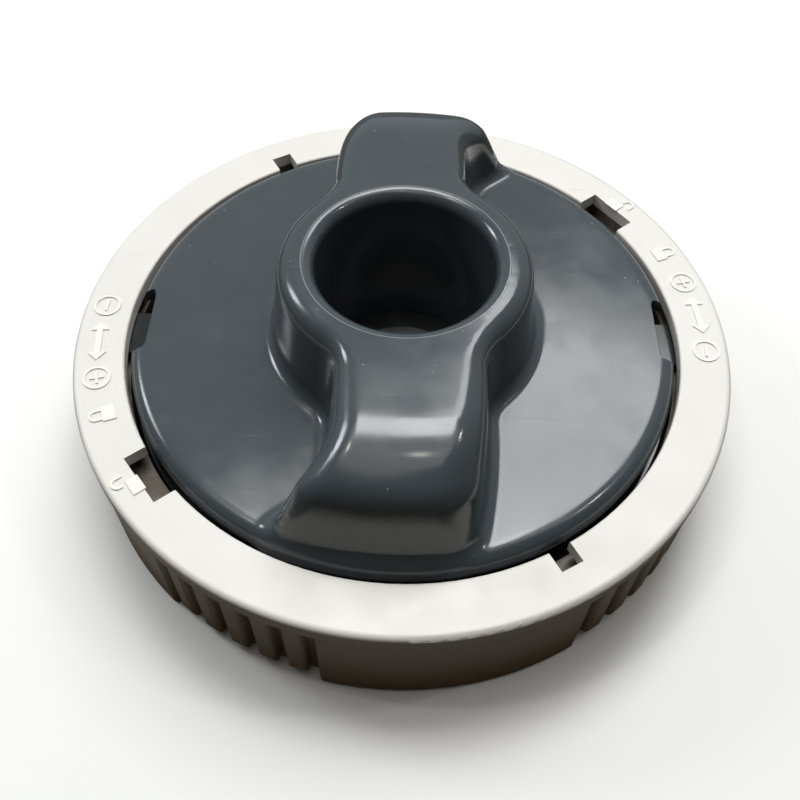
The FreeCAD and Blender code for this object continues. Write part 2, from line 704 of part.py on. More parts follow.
def windows(prefix, inner, outer, turn):
    """Four flow windows through a round wall."""
    return [bar("%s_window_%d" % (prefix, step), inner, outer, "window_width", "window_foot",
                "window_foot + window_height", "%s + %d" % (turn, 90 * step))
            for step in range(4)]


# Annular basket for the tablets, hung from the cap's drum
def make_basket():
    section = [
        (TUBE_INNER, "basket_foot"),
        (TUBE_INNER, BASKET_TUBE_TOP),
        (TUBE_INNER + " + basket_wall", BASKET_TUBE_TOP),
        (TUBE_INNER + " + basket_wall", BASKET_FLOOR_TOP),
        (BASKET_OUTER + " - basket_wall", BASKET_FLOOR_TOP),
        (BASKET_OUTER + " - basket_wall", BASKET_TOP),
        (BASKET_OUTER, BASKET_TOP),
        (BASKET_OUTER, "basket_foot"),
    ]
    tub = revolve("basket_turned", section)
    nubs = [bar("basket_nub_%d" % quarter, BASKET_OUTER + " - basket_wall / 2",
                BASKET_OUTER + " + nub_reach", "nub_width", "nub_level", "nub_level + nub_height",
                "45 + %d" % (90 * quarter)) for quarter in range(4)]
    openings = windows("basket", BASKET_OUTER + " - basket_wall - 2", BASKET_OUTER + " + 2",
                       "window_angle - window_lag")
    openings += floor_slots("basket", "basket_foot - 1", BASKET_FLOOR_TOP + " + 1", "0")
    return cut("tablet_basket", fuse("basket_with_nubs", [tub] + nubs),
               fuse("basket_openings", openings))


# Metering sleeve round the basket, with windows, a ledge for the grid and a collar with a
# seal groove that seats it in the neck
def make_sleeve():
    sleeve_top = "drum_foot - sleeve_gap"
    collar_top = "cup_collar_foot + cup_collar_height"
    web_top = "cup_collar_foot + cup_web"
    half = "(cup_seal_section / 2 + snap_clearance / 3)"
    ledge = SLEEVE_INNER + " - grid_ledge"
    section = [
        (ledge, GRID_TOP),
        (ledge, GRID_TOP + " + grid_ledge"),
        (SLEEVE_INNER, GRID_TOP + " + grid_ledge"),
        (SLEEVE_INNER, sleeve_top),
        (SLEEVE_OUTER, sleeve_top),
        (SLEEVE_OUTER, web_top),
        (CUP_COLLAR + " - cup_collar_width", web_top),
        (CUP_COLLAR + " - cup_collar_width", collar_top),
        (CUP_COLLAR, collar_top),
        (CUP_COLLAR, "%s + %s" % (CUP_SEAL_LEVEL, half)),
        (CUP_GROOVE, "%s + %s" % (CUP_SEAL_LEVEL, half)),
        (CUP_GROOVE, "%s - %s" % (CUP_SEAL_LEVEL, half)),
        (CUP_COLLAR, "%s - %s" % (CUP_SEAL_LEVEL, half)),
        (CUP_COLLAR, "cup_collar_foot"),
        (SLEEVE_OUTER, "cup_collar_foot"),
        (SLEEVE_OUTER, "grid_foot"),
        (SLEEVE_INNER + " + seat_gap / 3", "grid_foot"),
        (SLEEVE_INNER + " + seat_gap / 3", GRID_TOP),
    ]
    shell = revolve("sleeve_turned", section)
    openings = windows("sleeve", SLEEVE_INNER + " - 2", SLEEVE_OUTER + " + 1", "window_angle")
    return cut("metering_sleeve", shell, fuse("sleeve_openings", openings))


# Base grid: slotted disc pressed up against the sleeve's ledge, with a hole for the outlet
def make_grid():
    section = [(OUTLET_RADIUS, "grid_foot"), (OUTLET_RADIUS, GRID_TOP),
               (SLEEVE_INNER, GRID_TOP), (SLEEVE_INNER, "grid_foot")]
    plate = revolve("grid_turned", section)
    slots = floor_slots("grid", "grid_foot - 1", GRID_TOP + " + 1", "180 / floor_slots")
    return cut("base_grid", plate, fuse("grid_slots", slots))


# Split ring that holds the cup up in the collar's neck
def make_retainer():
    inner = "mouth_radius + retainer_bite - retainer_width"
    outer = "mouth_radius + retainer_bite"
    foot = "cup_collar_foot - seat_gap - retainer_thickness"
    top = "cup_collar_foot - seat_gap"
    ring = revolve("retainer_turned", [(inner, foot), (inner, top), (outer, top), (outer, foot)])
    gap = bar("retainer_gap", inner + " - 2", outer + " + 2", "retainer_opening",
              foot + " - 1", top + " + 1", "180")
    return cut("cup_retainer", ring, gap)


# Light grey bush at the foot of the bore, with a groove for its seal
def make_seat():
    groove_half = "(seat_seal_section / 2 + snap_clearance / 3)"
    groove_roof = GRID_TOP + " + seat_seal_section"
    section = [
        (OUTLET_RADIUS, GRID_TOP),
        (OUTLET_RADIUS, SEAT_TOP),
        (SEAT_TUBE, SEAT_TOP),
        (SEAT_TUBE, SEAT_SHOULDER_TOP),
        (SEAT_SHOULDER, SEAT_SHOULDER_TOP),
        (SEAT_SHOULDER, SEAT_FLANGE_TOP),
        (SEAT_FLANGE, SEAT_FLANGE_TOP),
        (SEAT_FLANGE, GRID_TOP),
        ("%s + %s" % (SEAT_SEAL_RADIUS, groove_half), GRID_TOP),
        ("%s + %s" % (SEAT_SEAL_RADIUS, groove_half), groove_roof),
        ("%s - %s" % (SEAT_SEAL_RADIUS, groove_half), groove_roof),
        ("%s - %s" % (SEAT_SEAL_RADIUS, groove_half), GRID_TOP),
    ]
    return revolve("outlet_seat", section)


# Face seal that stands on the bush's shoulder and meets the foot of the bore tube
def make_bore_seal():
    inner = SEAT_TUBE + " + seat_gap / 3"
    section = [
        (inner, SEAT_SHOULDER_TOP),
        (inner, SEAT_TOP),
        (BORE_OUTER, SEAT_TOP),
        (BORE_OUTER, SEAT_TOP + " - gasket_thickness"),
        (SEAT_SHOULDER, SEAT_SHOULDER_TOP),
    ]
    return revolve("bore_seal", section)


def flat_ring(name, inner, outer, foot, top):
    return revolve(name, [(inner, foot), (inner, top), (outer, top), (outer, foot)])


pieces = {
    "collar_ring": make_collar(),
    "dial_cap": make_cap(),
    "tablet_basket": make_basket(),
    "bore_tube": make_tube(),
    "dial_drum": make_drum(),
    "metering_sleeve": make_sleeve(),
    "base_grid": make_grid(),
    "cup_retainer": make_retainer(),
    "outlet_seat": make_seat(),
    "bore_seal": make_bore_seal(),
    "cap_gasket": flat_ring("cap_gasket", DRUM_INNER + " - 3 * basket_wall",
                            DRUM_INNER + " - seat_gap", BASKET_TOP + " + seat_gap / 3",
                            DISC_UNDER + " - seat_gap / 3"),
    "housing_gasket": flat_ring("housing_gasket", NECK_RADIUS + " + seat_gap / 2",
                                SOCKET_RADIUS + " - seat_gap / 2",
                                SOCKET_ROOF + " - socket_gasket_thickness", SOCKET_ROOF),
    "drum_seal": o_ring("drum_seal", "%s - drum_seal_section / 2" % DRUM_SEAL_OUTER,
                        "drum_foot + 2 * %s" % CARRIER_LAND, "drum_seal_section"),
    "cup_seal": o_ring("cup_seal", "%s - cup_seal_section / 2 + seat_gap / 3" % CUP_COLLAR,
                       CUP_SEAL_LEVEL, "cup_seal_section"),
    "seat_seal": o_ring("seat_seal", SEAT_SEAL_RADIUS, GRID_TOP + " + seat_seal_section / 2",
                        "seat_seal_section"),
    "tube_seal": o_ring("tube_seal", TUBE_GROOVE + " + tube_seal_section / 2 + seat_gap / 3",
                        TUBE_SEAL_LEVEL, "tube_seal_section"),
}
doc.recompute()

for item in doc.Objects:
    if "Invalid" in item.State or "Error" in item.State:
        raise RuntimeError("%s did not compute: %s" % (item.Name, item.State))

os.makedirs("parts", exist_ok=True)
for node, piece in pieces.items():
    piece.Label = node
    shape = piece.Shape
    if shape.isNull() or not shape.isValid():
        raise RuntimeError("%s has no valid shape" % node)
    print("%s: %d solid(s), %.1f cm3, height %.1f to %.1f" % (
        node, len(shape.Solids), shape.Volume / 1000, shape.BoundBox.ZMin, shape.BoundBox.ZMax))
    shape.exportStep("parts/%s.step" % node)
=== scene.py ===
# %% [markdown]
# A dispenser for spa chemicals: an ivory collar that screws onto a filter housing, and a
# slate grey dial that turns in it. The solid parts come ready made, each in its own place,
# and this lesson gives them their looks. The first cell loads them and bakes each part's
# placing into its mesh.

# %% Load the parts
import math
import bmesh
import bpy
import numpy as np
from mathutils import Matrix, Vector


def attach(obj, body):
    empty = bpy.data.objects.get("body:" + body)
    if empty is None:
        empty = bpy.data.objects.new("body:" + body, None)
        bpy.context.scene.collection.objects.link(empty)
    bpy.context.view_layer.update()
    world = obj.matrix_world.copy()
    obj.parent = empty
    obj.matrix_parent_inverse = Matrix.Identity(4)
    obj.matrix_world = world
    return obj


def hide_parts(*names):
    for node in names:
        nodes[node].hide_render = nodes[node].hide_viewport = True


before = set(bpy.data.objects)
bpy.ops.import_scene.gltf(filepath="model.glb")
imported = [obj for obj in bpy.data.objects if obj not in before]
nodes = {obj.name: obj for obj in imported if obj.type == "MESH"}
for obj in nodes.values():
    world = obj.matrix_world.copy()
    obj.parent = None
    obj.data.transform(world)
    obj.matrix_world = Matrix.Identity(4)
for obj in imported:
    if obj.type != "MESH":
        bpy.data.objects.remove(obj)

MM = 0.001
scene = bpy.context.scene
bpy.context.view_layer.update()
for node in sorted(nodes):
    print("%s: %d triangles" % (node, len(nodes[node].data.polygons)))

# %% [markdown]
# The camera looks down at about fifty degrees from the front, 226 mm from the middle of the
# flange. Its axes are built by turning a camera that looks straight at the flange.

# %% Camera
FLANGE_TOP = Vector((0, 0, 32.0)) * MM
ELEVATION = 49.87
DISTANCE = 226.2 * MM
YAW, PITCH, ROLL = 0.075, -4.503, -1.748
LENS = 41.03

rise = math.radians(ELEVATION)
forward = Vector((0, math.cos(rise), -math.sin(rise)))
right = Vector((1, 0, 0))
upward = right.cross(forward)
yaw = Matrix.Rotation(math.radians(YAW), 3, upward)
forward, right = yaw @ forward, yaw @ right
pitch = Matrix.Rotation(math.radians(PITCH), 3, right)
forward, upward = pitch @ forward, pitch @ upward
roll = Matrix.Rotation(math.radians(ROLL), 3, forward)
right, upward = roll @ right, roll @ upward

camera = bpy.data.objects.new("camera", bpy.data.cameras.new("camera"))
scene.collection.objects.link(camera)
eye = FLANGE_TOP + Vector((0, -math.cos(rise), math.sin(rise))) * DISTANCE
axes = Matrix((right, upward, -forward)).transposed().to_4x4()
camera.matrix_world = Matrix.Translation(eye) @ axes
camera.data.lens = LENS
camera.data.clip_start = 0.01
scene.camera = camera
print("camera at", tuple(round(c, 4) for c in eye))

# %% [markdown]
# Colours are written as sRGB hex values, as a colour chart gives them, and one function
# turns them into the linear values that the shader wants. Another adds a node with its
# settings and its links, so that each tree below reads as a list of what it holds, and a
# third adds the sums. A tree of materials or of Geometry Nodes is built the same way.


# %% Helpers for colours and nodes
def colour(code):
    channels = [int(code[i:i + 2], 16) / 255 for i in (1, 3, 5)]
    linear = [c / 12.92 if c <= 0.04045 else ((c + 0.055) / 1.055) ** 2.4 for c in channels]
    return (*linear, 1.0)


def add_node(tree, kind, inputs=None, **settings):
    """Adds a node. An input is a plain value, or another node's output to link."""
    node = tree.nodes.new(kind)
    for name, setting in settings.items():
        setattr(node, name, setting)
    for name, value in (inputs or {}).items():
        if isinstance(value, bpy.types.NodeSocket):
            tree.links.new(value, node.inputs[name])
        else:
            node.inputs[name].default_value = value
    return node


def calculated(tree, operation, *values):
    """A sum on plain numbers or outputs."""
    return add_node(tree, "ShaderNodeMath", dict(enumerate(values)),
                    operation=operation).outputs["Value"]


def start_material(name, **surface):
    """A material with one Principled shader, whose plain numbers are set on its sockets."""
    material = bpy.data.materials.new(name)
    material.use_nodes = True
    tree = material.node_tree
    shader = tree.nodes["Principled BSDF"]
    for socket, value in surface.items():
        shader.inputs[socket.replace("_", " ")].default_value = value
    place = add_node(tree, "ShaderNodeTexCoord").outputs["Object"]
    return material, tree, shader, place


# %% [markdown]
# Most patterns below are one of three things. Noise that passes a threshold gives patches
# and specks. Noise on a space stretched along one direction gives scratches. A mix of two
# colours by either gives the paint. A texture's scale is one over the size of its grain in
# metres, so each helper takes the real size in millimetres and works the scale out.


# %% Helpers for patterns
def noise(tree, place, grain_mm, detail=2.0, roughness=0.5):
    return add_node(tree, "ShaderNodeTexNoise",
                    {"Vector": place, "Scale": 1.0 / (grain_mm * MM), "Detail": detail,
                     "Roughness": roughness}).outputs["Fac"]


def ramp(tree, value, low, high, out_low=0.0, out_high=1.0):
    return add_node(tree, "ShaderNodeMapRange",
                    {"Value": value, "From Min": low, "From Max": high,
                     "To Min": out_low, "To Max": out_high},
                    interpolation_type="SMOOTHSTEP").outputs["Result"]


def mixed(tree, factor, first, second):
    """A mix of two colours, each a hex code or an output."""
    paint = add_node(tree, "ShaderNodeMix", {"Factor": factor}, data_type="RGBA")
    for socket, source in ((paint.inputs[6], first), (paint.inputs[7], second)):
        if isinstance(source, str):
            socket.default_value = colour(source)
        else:
            tree.links.new(source, socket)
    return paint.outputs[2]


def ring_place(tree, place):
    """How far a point is from the turning axis, and its height."""
    flat = add_node(tree, "ShaderNodeVectorMath", {0: place, 1: (1.0, 1.0, 0.0)},
                    operation="MULTIPLY").outputs["Vector"]
    across = add_node(tree, "ShaderNodeVectorMath", {0: flat}, operation="LENGTH")
    height = add_node(tree, "ShaderNodeSeparateXYZ", {"Vector": place})
    return across.outputs["Value"], height.outputs["Z"]


def stretched(tree, place, turn, along):
    """Space turned about Z and squeezed along one direction, so that grains become streaks."""
    return add_node(tree, "ShaderNodeMapping",
                    {"Vector": place, "Rotation": (0.0, 0.0, math.radians(turn)),
                     "Scale": (1.0 / along, 1.0, 1.0)}).outputs["Vector"]


# %% [markdown]
# The dial is ABS, moulded in a polished tool: a deep slate grey with a hard gloss. Handling
# has left hair scratches, drawn about 0.35 mm apart so that they show, smears that soften
# the gloss in patches of about 12 mm, and grains of pale dust about 0.3 mm across. A fine
# pale line marks the seam where the tube's mouth meets the boss. The drum and the other
# pieces below the disc get a much darker copy of the grey, which is painted shade for the
# dark gaps they are seen through.


# %% Slate ABS for the dial
SCRATCHES = ((25.0, 160.0), (-50.0, 120.0), (100.0, 140.0))
SEAM_RADIUS, SEAM_LEVEL = 23.65, 56.2


def make_slate_abs(name, dark, light):
    material, tree, shader, place = start_material(name, IOR=1.53)
    clouds = noise(tree, place, 30.0, 3.0)
    paint = mixed(tree, clouds, dark, light)
    streaks = 0.0
    for turn, along in SCRATCHES:
        lines = noise(tree, stretched(tree, place, turn, along), 0.35, 1.0)
        streaks = calculated(tree, "MAXIMUM", streaks, ramp(tree, lines, 0.74, 0.82))
    patches = ramp(tree, noise(tree, place, 12.0, 4.0, 0.6), 0.45, 0.68)
    seen = calculated(tree, "MULTIPLY", streaks, patches)
    grains = add_node(tree, "ShaderNodeTexVoronoi",
                      {"Vector": place, "Scale": 1.0 / (3.2 * MM), "Randomness": 1.0})
    chosen = ramp(tree, noise(tree, place, 6.0, 2.0), 0.52, 0.6)
    grain = ramp(tree, grains.outputs["Distance"], 0.07, 0.03)
    dust = calculated(tree, "MULTIPLY", grain, chosen)
    worn = mixed(tree, calculated(tree, "MULTIPLY", seen, 0.06), paint, "#8d9496")
    dusty = mixed(tree, calculated(tree, "MULTIPLY", dust, 0.55), worn, "#b9b8b2")
    across, height = ring_place(tree, place)
    aside = calculated(tree, "ABSOLUTE", calculated(tree, "SUBTRACT", across, SEAM_RADIUS * MM))
    seam = ramp(tree, aside, 0.16 * MM, 0.06 * MM, 0.0, 0.45)
    level = ramp(tree, height, SEAM_LEVEL * MM, (SEAM_LEVEL + 0.4) * MM)
    paint = mixed(tree, calculated(tree, "MULTIPLY", seam, level), dusty, "#a9adad")
    tree.links.new(paint, shader.inputs["Base Color"])
    smear = ramp(tree, noise(tree, place, 14.0, 5.0, 0.65), 0.35, 0.75, 0.13, 0.24)
    rough = calculated(tree, "MULTIPLY_ADD", seen, 0.25, smear)
    tree.links.new(calculated(tree, "MULTIPLY_ADD", dust, 0.5, rough), shader.inputs["Roughness"])
    # Broad sink waves of the moulding, about 9 mm long, and the scratches' own depth
    waves = noise(tree, place, 9.0, 1.0)
    relief = add_node(tree, "ShaderNodeBump", {"Height": waves, "Distance": 0.00005,
                                               "Strength": 0.5})
    scored = add_node(tree, "ShaderNodeBump", {"Height": seen, "Distance": 0.00001,
                                               "Strength": 0.6, "Normal": relief.outputs["Normal"]},
                      invert=True)
    tree.links.new(scored.outputs["Normal"], shader.inputs["Normal"])
    return material


slate_abs = make_slate_abs("moulded_slate_abs", "#3a4145", "#42494d")
# A much darker copy of the same grey: painted shade for the parts seen only through gaps under the
# disc.
shade_dark_slate_abs = make_slate_abs("stained_slate_abs", "#16191a", "#202424")
print("made", slate_abs.name, shade_dark_slate_abs.name)

# %% [markdown]
# The collar is polypropylene with an ivory pigment, moulded in a tool with a fine satin
# grain. It is slightly waxy, so a little light goes under the surface, and it has grey rubs
# where hands and shelves have touched it. Its skirt is painted browner and darker towards the
# foot, as painted shade, and the track under the flange is painted dark brown, as painted
# shade in that recess. Raised signs are rubbed paler.


# %% Ivory polypropylene for the collar
SKIRT_TOP, TRACK_TOP, INNER_WALL = 29.5, 28.7, 74.2


def make_ivory_pp(name, dark, light):
    material, tree, shader, place = start_material(
        name, IOR=1.49, Subsurface_Weight=0.06, Subsurface_Scale=0.002)
    clouds = noise(tree, place, 22.0, 4.0)
    paint = mixed(tree, clouds, dark, light)
    radius, height = ring_place(tree, place)
    # Painted shade: the skirt turns browner and darker towards its foot.
    foot_shade = ramp(tree, height, SKIRT_TOP * MM, 0.0, 0.1, 0.9)
    paint = mixed(tree, foot_shade, paint, "#8d7750")
    rubs = ramp(tree, noise(tree, stretched(tree, place, 35.0, 6.0), 3.5, 5.0, 0.7), 0.62, 0.78,
                0.0, 0.35)
    paint = mixed(tree, rubs, paint, "#b9b6ac")
    specks = add_node(tree, "ShaderNodeTexVoronoi", {"Vector": place, "Scale": 1.0 / (4.5 * MM)})
    speck = ramp(tree, specks.outputs["Distance"], 0.045, 0.02, 0.0, 0.5)
    paint = mixed(tree, speck, paint, "#7d766a")
    # Painted shade in the track under the flange: dark brown inside the inner wall and below the
    # track's top, mottled by noise.
    inner = ramp(tree, radius, INNER_WALL * MM, (INNER_WALL - 0.4) * MM)
    below = ramp(tree, height, TRACK_TOP * MM, (TRACK_TOP - 0.5) * MM)
    track_shade_mottle = ramp(tree, noise(tree, place, 7.0, 4.0), 0.3, 0.7, 0.8, 1.0)
    track_shade = calculated(tree, "MULTIPLY", calculated(tree, "MULTIPLY", inner, below), track_shade_mottle)
    paint = mixed(tree, track_shade, paint, "#4a3d2e")
    tree.links.new(paint, shader.inputs["Base Color"])
    gloss = ramp(tree, noise(tree, place, 8.0, 4.0), 0.3, 0.7, 0.36, 0.5)
    tree.links.new(gloss, shader.inputs["Roughness"])
    grain = noise(tree, place, 0.35, 3.0, 0.6)
    satin = add_node(tree, "ShaderNodeBump", {"Height": grain, "Distance": 0.00002,
                                              "Strength": 0.6})
    waves = noise(tree, place, 12.0, 1.0)
    relief = add_node(tree, "ShaderNodeBump", {"Height": waves, "Distance": 0.00012,
                                               "Strength": 0.5, "Normal": satin.outputs["Normal"]})
    tree.links.new(relief.outputs["Normal"], shader.inputs["Normal"])
    return material


ivory_pp = make_ivory_pp("moulded_ivory_polypropylene", "#dcdad6", "#e4e3df")
rubbed_pp = make_ivory_pp("rubbed_ivory_polypropylene", "#ebeae3", "#f2f1eb")
print("made", ivory_pp.name, rubbed_pp.name)

# %% [markdown]
# The seals are nitrile rubber, which is dull, nearly black, and shows a bloom of grey where
# it has dried. The outlet bush is mid grey ABS. The ring that holds the sleeve up is drawn
# spring steel, whose drawing lines run along the strip.


# %% Rubber, grey ABS and spring steel
def make_nitrile():
    material, tree, shader, place = start_material("moulded_nitrile_rubber", IOR=1.52)
    bloom = ramp(tree, noise(tree, place, 5.0, 5.0, 0.65), 0.45, 0.75, 0.0, 0.6)
    tree.links.new(mixed(tree, bloom, "#1d1e20", "#3a3b3c"), shader.inputs["Base Color"])
    tree.links.new(ramp(tree, bloom, 0.0, 0.6, 0.42, 0.7), shader.inputs["Roughness"])
    grain = add_node(tree, "ShaderNodeBump", {"Height": noise(tree, place, 0.4, 3.0),
                                              "Distance": 0.00002, "Strength": 0.7})
    tree.links.new(grain.outputs["Normal"], shader.inputs["Normal"])
    return material


def make_grey_abs():
    material, tree, shader, place = start_material("moulded_mid_grey_abs", IOR=1.53)
    clouds = noise(tree, place, 6.0, 4.0)
    tree.links.new(mixed(tree, clouds, "#505455", "#646868"), shader.inputs["Base Color"])
    tree.links.new(ramp(tree, clouds, 0.3, 0.7, 0.3, 0.45), shader.inputs["Roughness"])
    grain = add_node(tree, "ShaderNodeBump", {"Height": noise(tree, place, 0.5, 2.0),
                                              "Distance": 0.00001, "Strength": 0.6})
    tree.links.new(grain.outputs["Normal"], shader.inputs["Normal"])
    return material


def make_spring_steel():
    material, tree, shader, place = start_material("drawn_spring_steel", Metallic=1.0)
    lines = noise(tree, stretched(tree, place, 0.0, 30.0), 0.3, 3.0)
    tree.links.new(mixed(tree, lines, "#a3a29e", "#c4c3bf"), shader.inputs["Base Color"])
    tree.links.new(ramp(tree, lines, 0.3, 0.7, 0.22, 0.38), shader.inputs["Roughness"])
    return material


nitrile = make_nitrile()
mid_grey_abs = make_grey_abs()
spring_steel = make_spring_steel()

FINISHES = {
    "collar_ring": ivory_pp, "dial_cap": slate_abs, "bore_tube": slate_abs,
    "dial_drum": shade_dark_slate_abs, "tablet_basket": shade_dark_slate_abs, "metering_sleeve": shade_dark_slate_abs,
    "base_grid": shade_dark_slate_abs, "cup_retainer": spring_steel, "outlet_seat": mid_grey_abs,
}
for name, part in nodes.items():
    part.data.materials.clear()
    part.data.materials.append(FINISHES.get(name, nitrile))
print(len(nodes), "parts have a finish")

# %% [markdown]
# The dial cap is one moulding in which no two faces meet in a sharp corner: the wings run
# into the boss, and both run into the disc, in soft hollows. Such a skin is easiest as a
# rule. Each simple form is written as a distance, negative inside it. One function joins
# two distances with a rounded edge and another with a hollow fillet, and the skin is where
# the whole is zero.


# %% Distances with rounded edges and fillets
def rounded_and(a, b, radius):
    """Where both forms overlap, with the edge between them rounded."""
    corner = np.hypot(np.maximum(a + radius, 0), np.maximum(b + radius, 0)) - radius
    return np.where((a > -radius) & (b > -radius), corner, np.maximum(a, b))


def filleted_or(a, b, radius):
    """Both forms together, with a hollow fillet where they meet."""
    return -rounded_and(-a, -b, radius)


# %% [markdown]
# The sizes are those of the solid cap, in millimetres, except that its fillets, the rounding
# of a wing's tip and the place of the palm's tip are softer here. Both side walls of a wing
# lean in towards the top. The left one is straight, then turns through fifty degrees about
# a fixed centre and runs out straight, which makes the scoop for the fingers. The right one
# is a long shallow arc for the palm. The top is flat near the boss and falls away in two
# arcs, turned about an axis behind the boss.

# %% Sizes of the cap
DISC_TOP, DISC_RADIUS, RIM_ROUND = 34.0, 66.4, 3.6
BOSS_TOP, BOSS_RADIUS, BOSS_FOOT, BOSS_ROUND = 56.9, 29.5, 31.6, 4.0
WALL_FOOT, WALL_CROWN = 31.75, 61.5
SCOOP_X, SCOOP_Y, SCOOP_BEND, SCOOP_LEAN, SCOOP_TURN = -31.6, -41.0, 15.0, 3.2, 50.0
PALM_ROOT, PALM_TIP, PALM_LEAN, PALM_ARC = (19.6, -18.0), (15.8, -64.06), 3.1, 130.0
NOSE_CENTRE, NOSE_FLAT, SHOULDER_ARC, NOSE_ARC = 22.0, 64.0, 30.0, 8.0
SHOULDER_TILT, NOSE_TILT = math.radians(30.0), math.radians(78.0)
WING_START = -5.0
CROWN_ROUND, TIP_ROUND, FOOT_ROUND, WING_FILLET, DISC_FILLET = 4.6, 8.5, 4.0, 4.0, 2.8
print("boss %.1f mm over the disc" % (BOSS_TOP - DISC_TOP))


# %% The form of the cap
def scoop_side(x, y, lean):
    across, along = x - SCOOP_X, SCOOP_Y - y
    turn = math.radians(SCOOP_TURN)
    angle = np.arctan2(along, across)
    straight_out = across * math.cos(turn) + along * math.sin(turn)
    reach = np.where(angle < 0, across, np.where(angle > turn, straight_out,
                                                 np.hypot(across, along)))
    return SCOOP_BEND + SCOOP_LEAN * lean - reach


def palm_side(x, y, lean):
    root, tip = np.array(PALM_ROOT), np.array(PALM_TIP)
    chord = tip - root
    length = np.hypot(*chord)
    inward = np.array([chord[1], -chord[0]]) / length
    centre = (root + tip) / 2 + inward * math.sqrt(PALM_ARC ** 2 - length ** 2 / 4)
    return np.hypot(x + PALM_LEAN * lean - centre[0], y - centre[1]) - PALM_ARC


def crown(x, y, z):
    reach = np.hypot(x, y - NOSE_CENTRE)
    low = BOSS_TOP - SHOULDER_ARC
    first = np.hypot(reach - NOSE_FLAT, z - low) - SHOULDER_ARC
    inner_r = NOSE_FLAT + (SHOULDER_ARC - NOSE_ARC) * math.sin(SHOULDER_TILT)
    inner_z = low + (SHOULDER_ARC - NOSE_ARC) * math.cos(SHOULDER_TILT)
    second = np.hypot(reach - inner_r, z - inner_z) - NOSE_ARC
    face = ((reach - inner_r) * math.sin(NOSE_TILT) + (z - inner_z) * math.cos(NOSE_TILT)
            - NOSE_ARC)
    turn_one = np.arctan2(reach - NOSE_FLAT, z - low)
    turn_two = np.arctan2(reach - inner_r, z - inner_z)
    bent = np.where(turn_two > NOSE_TILT, face, np.where(turn_two > SHOULDER_TILT, second, first))
    return np.where(turn_one < 0, z - BOSS_TOP, bent)


def cap_form(points):
    """Distance in mm from the skin of the cap. The back wing is the front one turned round."""
    half_turn = np.where(points[:, 1] > 0, -1.0, 1.0)
    x, y, z = points[:, 0] * half_turn, points[:, 1] * half_turn, points[:, 2]
    radius = np.hypot(x, y)
    lean = (z - WALL_FOOT) / (WALL_CROWN - WALL_FOOT)
    taper = (BOSS_FOOT - BOSS_RADIUS) / (BOSS_TOP - BOSS_ROUND - DISC_TOP - DISC_FILLET)
    boss = radius - BOSS_RADIUS - taper * np.maximum(BOSS_TOP - BOSS_ROUND - z, 0.0)
    walls = np.maximum(scoop_side(x, y, lean), palm_side(x, y, lean))
    wing = np.maximum(walls, y - WING_START)
    sides = filleted_or(boss, wing, WING_FILLET)
    top = np.where(boss < -1.0, z - BOSS_TOP, crown(x, y, z))
    outward = np.clip((-y - BOSS_RADIUS) / (DISC_RADIUS - BOSS_RADIUS), 0.0, 1.0)
    upward = np.clip((z - DISC_TOP) / (BOSS_TOP - DISC_TOP) * 1.4, 0.0, 1.0)
    tip = FOOT_ROUND + (TIP_ROUND - FOOT_ROUND) * upward
    handle = rounded_and(sides, top, CROWN_ROUND + (tip - CROWN_ROUND) * outward)
    disc = rounded_and(radius - DISC_RADIUS, z - DISC_TOP, RIM_ROUND)
    return filleted_or(handle, disc, DISC_FILLET)


def cap_slope(points, step=0.01):
    """Direction and steepness of the form at each point, by small steps each way."""
    slope = np.empty_like(points)
    for axis in range(3):
        shift = np.zeros(3)
        shift[axis] = step
        slope[:, axis] = (cap_form(points + shift) - cap_form(points - shift)) / (2 * step)
    return slope


# %% [markdown]
# To get faces for the skin, the solid cap is copied, its loose triangles are merged and a
# voxel remesh gives it an even net, 0.8 mm across. Then each point of the outside slides
# along the form's slope until its distance is zero, which takes a few steps. The inside
# keeps the solid's shape. The rim of the round hole is first drawn in, to be cut to size.
# The hole and the two pointer notches are cut last, by booleans, so that they stay crisp.

# %% Skin of the cap
VOXEL = 0.8
NEAR_DISC, NEAR_HANDLE, FACING = 2.4, 6.0, 0.3
RIM_REACH, RIM_LEVEL, RIM_RADIUS = 24.9, 53.0, 23.2


def new_object(name, mesh, *materials):
    piece = bpy.data.objects.new(name, mesh)
    scene.collection.objects.link(piece)
    for material in materials:
        piece.data.materials.append(material)
    return piece


def baked(piece):
    """The piece with its modifiers turned into plain mesh."""
    bpy.context.view_layer.update()
    shape = piece.evaluated_get(bpy.context.evaluated_depsgraph_get())
    mesh = bpy.data.meshes.new_from_object(shape)
    piece.modifiers.clear()
    piece.data = mesh
    return piece


def merged_copy(name, source):
    mesh = source.data.copy()
    work = bmesh.new()
    work.from_mesh(mesh)
    bmesh.ops.remove_doubles(work, verts=work.verts, dist=1e-6)
    work.to_mesh(mesh)
    work.free()
    return new_object(name, mesh)


def mesh_points(mesh, attribute="co"):
    flat = np.empty(len(mesh.vertices) * 3)
    mesh.vertices.foreach_get(attribute, flat)
    return flat.reshape(-1, 3)


cap_skin = merged_copy("dial_cap_skin", nodes["dial_cap"])
remesh = cap_skin.modifiers.new("even_net", "REMESH")
remesh.mode = "VOXEL"
remesh.voxel_size = VOXEL * MM
baked(cap_skin)

